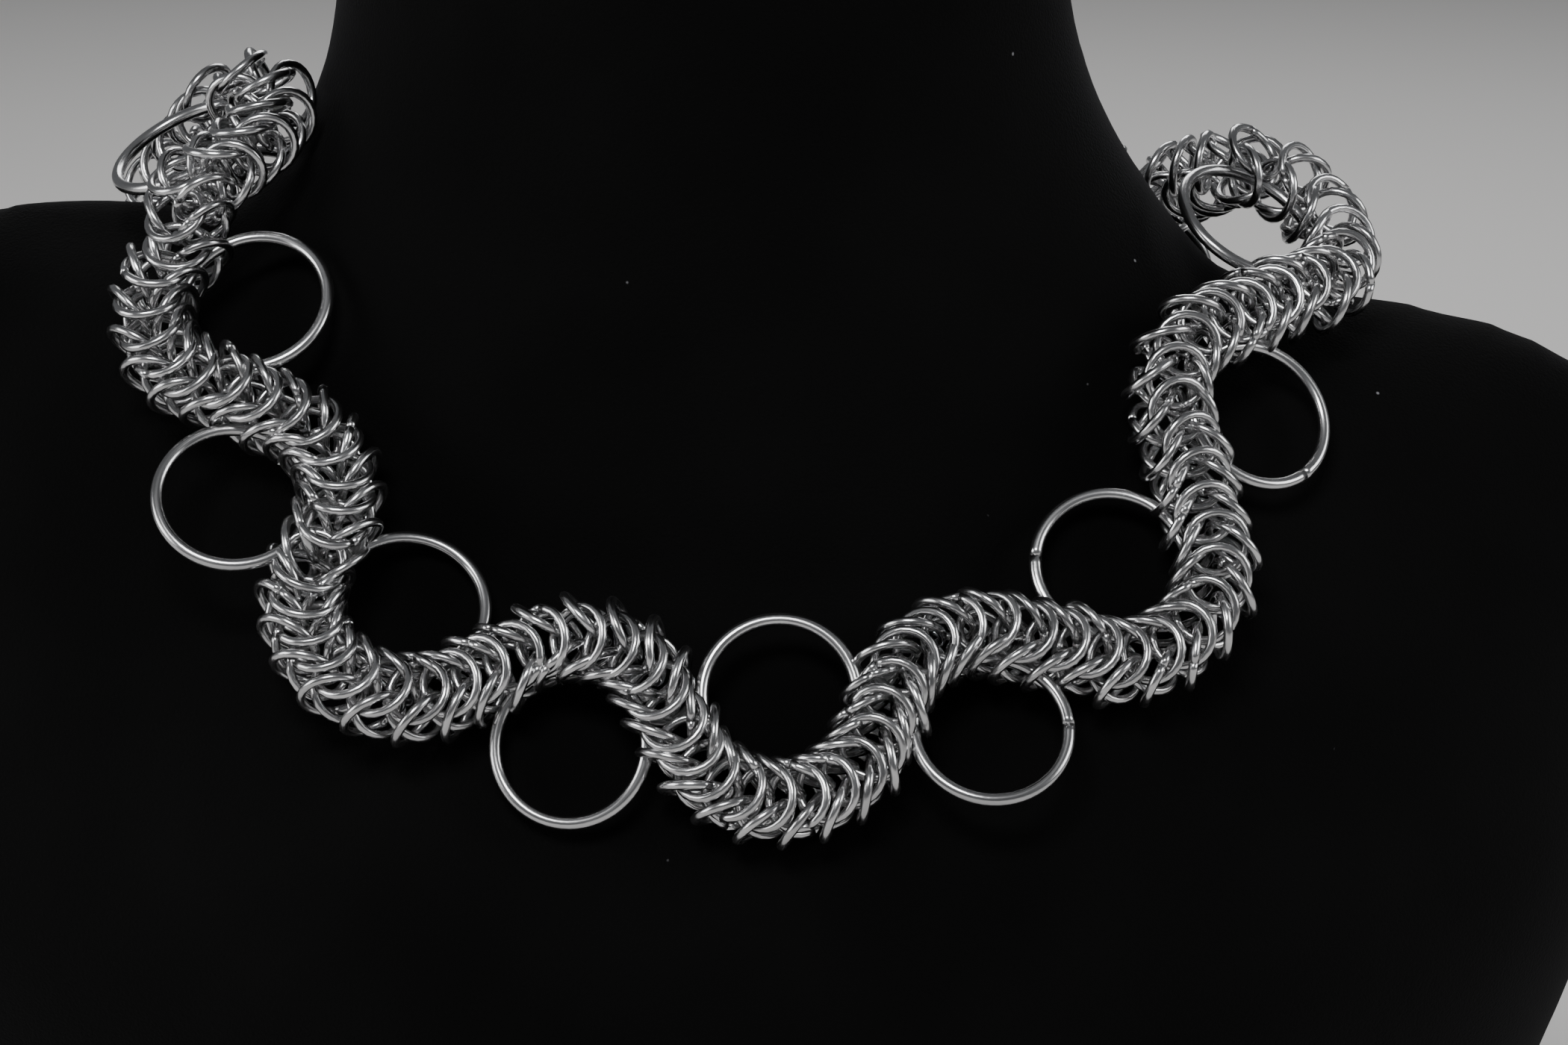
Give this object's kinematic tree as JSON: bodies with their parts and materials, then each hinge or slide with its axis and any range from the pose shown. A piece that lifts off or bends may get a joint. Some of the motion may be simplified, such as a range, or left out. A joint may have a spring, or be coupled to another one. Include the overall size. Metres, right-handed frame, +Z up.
{
  "type": "chainmail necklace on a neck bust",
  "caption": "Chainmail necklace of small steel rings woven in a box chain that winds round large plain rings, worn on a plain black velvet neck bust.",
  "frame": {"origin": "middle of the bust's flat base", "axes": "+Z up along the neck, -Y towards the front of the chest, +X towards the viewer's right"},
  "size_m": [0.2634, 0.1168, 0.2681],
  "materials": {
    "steel": "satin",
    "velvet": "matte"
  },
  "bodies": {
    "root": {"box_chain": "steel", "end_ring_left": "steel", "end_ring_right": "steel", "hook_clasp": "steel", "neck_bust": "velvet", "wave_ring_01": "steel", "wave_ring_02": "steel", "wave_ring_03": "steel", "wave_ring_04": "steel", "wave_ring_05": "steel", "wave_ring_06": "steel", "wave_ring_07": "steel", "wave_ring_08": "steel", "wave_ring_09": "steel", "wave_ring_10": "steel", "wave_ring_11": "steel", "wave_ring_12": "steel", "wave_ring_13": "steel", "wave_ring_14": "steel", "wave_ring_15": "steel"}
  },
  "joints": []
}
